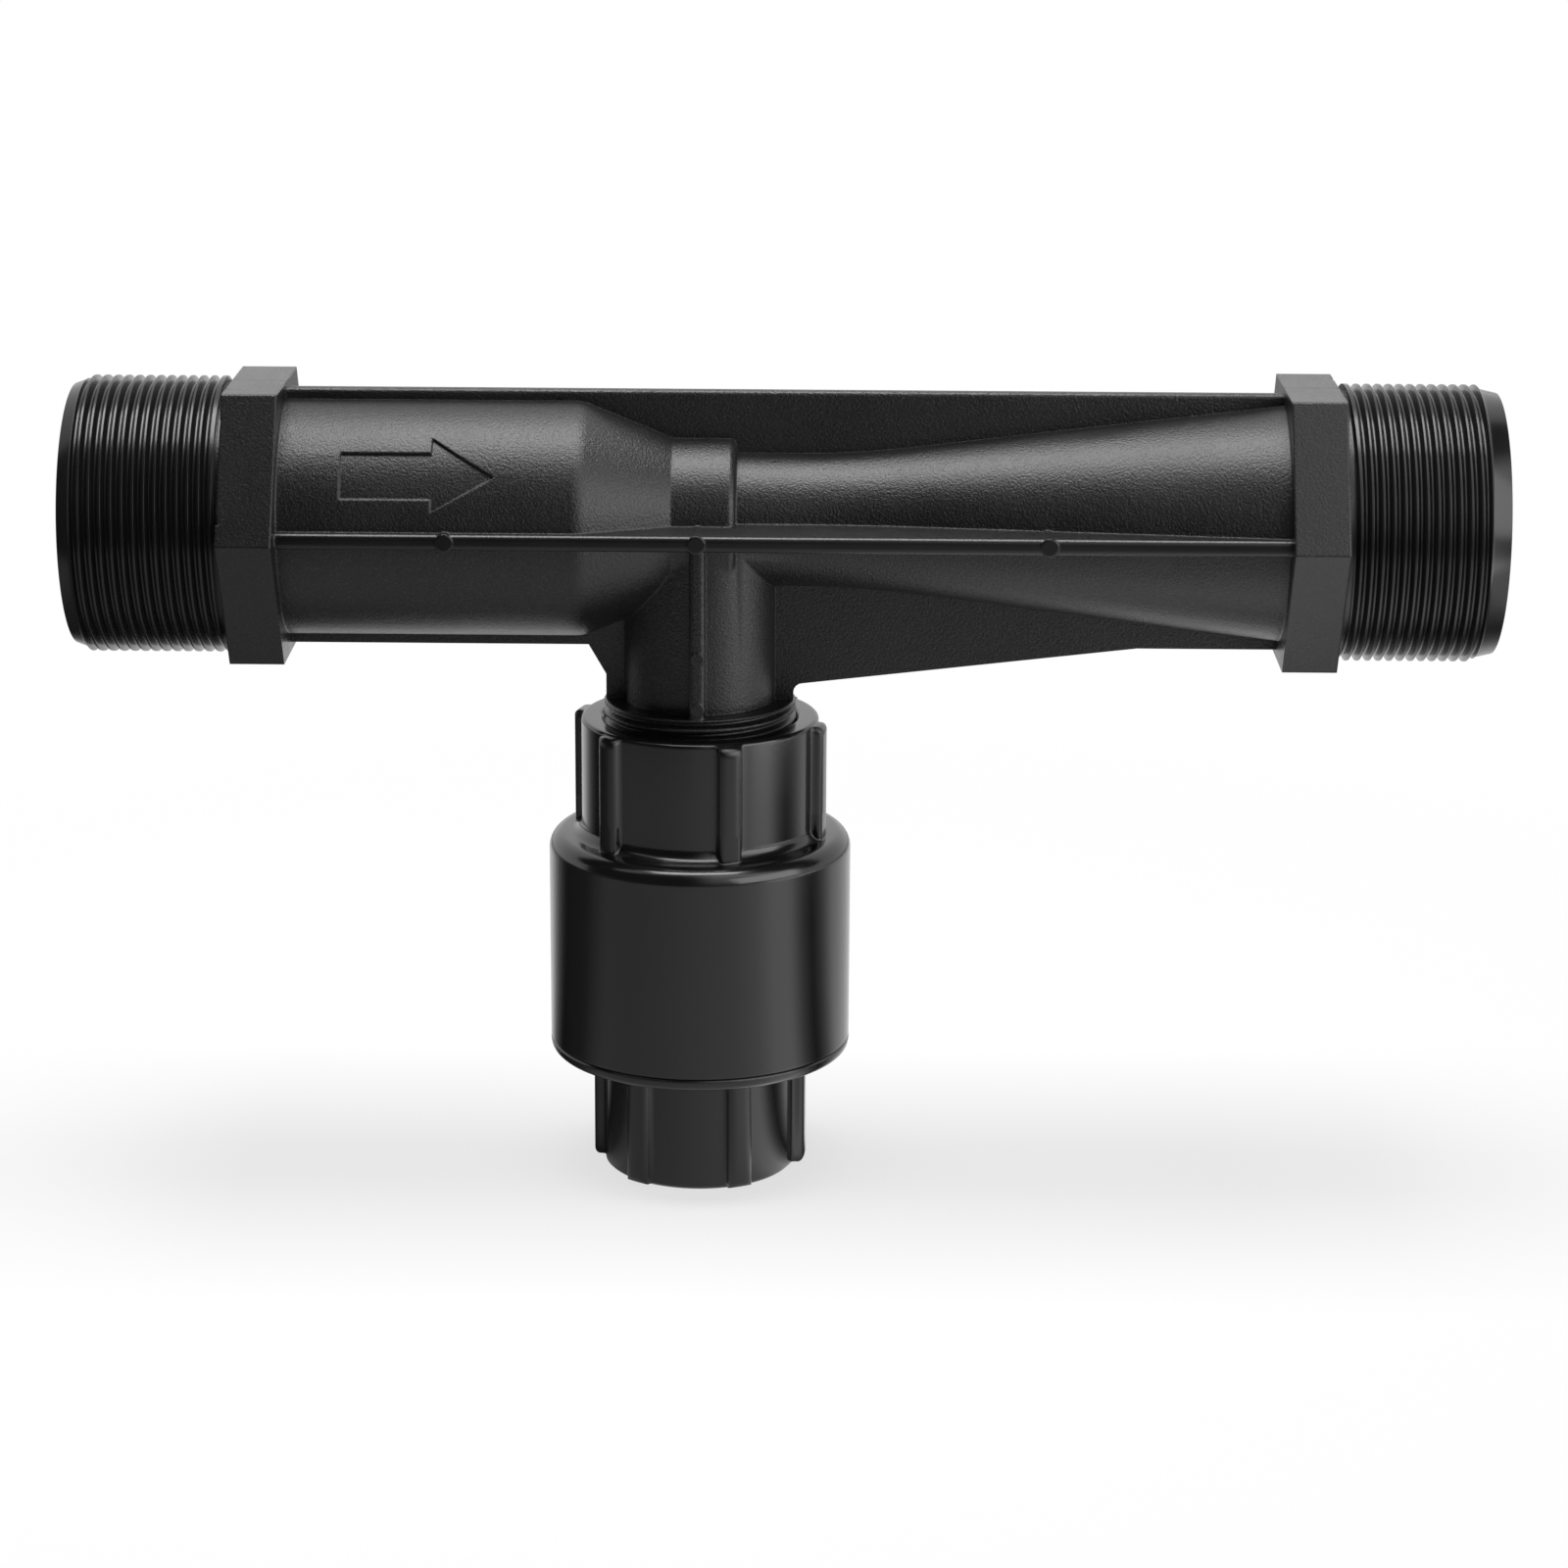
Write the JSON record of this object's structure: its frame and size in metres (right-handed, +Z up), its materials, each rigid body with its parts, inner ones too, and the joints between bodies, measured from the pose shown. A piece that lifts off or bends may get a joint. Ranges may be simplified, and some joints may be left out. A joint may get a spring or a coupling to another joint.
{
  "type": "venturi fertilizer injector",
  "caption": "Black moulded venturi injector with a male pipe thread at each end, a ribbed throat body and a spring check valve screwed onto its suction branch.",
  "frame": {"origin": "centre of the suction socket's mouth, which the part stands on", "axes": "+X is the flow direction, from inlet to outlet, +Z is up along the suction branch, and -Y is the front, with the flow sign"},
  "size_m": [0.305, 0.0674, 0.1768],
  "materials": {
    "body_black": "fine moulded grain, black",
    "valve_black": "smooth satin moulding, black",
    "seal_rubber": "smooth rubber, black",
    "poppet_grey": "plain moulding, grey",
    "spring_steel": "drawn stainless wire"
  },
  "bodies": {
    "injector": {"venturi_body": "body_black", "check_valve_housing": "valve_black", "check_valve_cap": "valve_black", "port_gasket": "seal_rubber", "cap_o_ring": "seal_rubber", "valve_spring": "spring_steel"},
    "poppet": {"valve_poppet": "poppet_grey", "poppet_seal": "seal_rubber"}
  },
  "joints": [
    {"name": "poppet_lift", "type": "slide", "parent": "injector", "child": "poppet", "axis": [0, 0, 1], "range_m": [0, 0.006], "stiffness_N_per_m": 300, "springref_m": -0.008, "deforming": ["valve_spring"]}
  ]
}
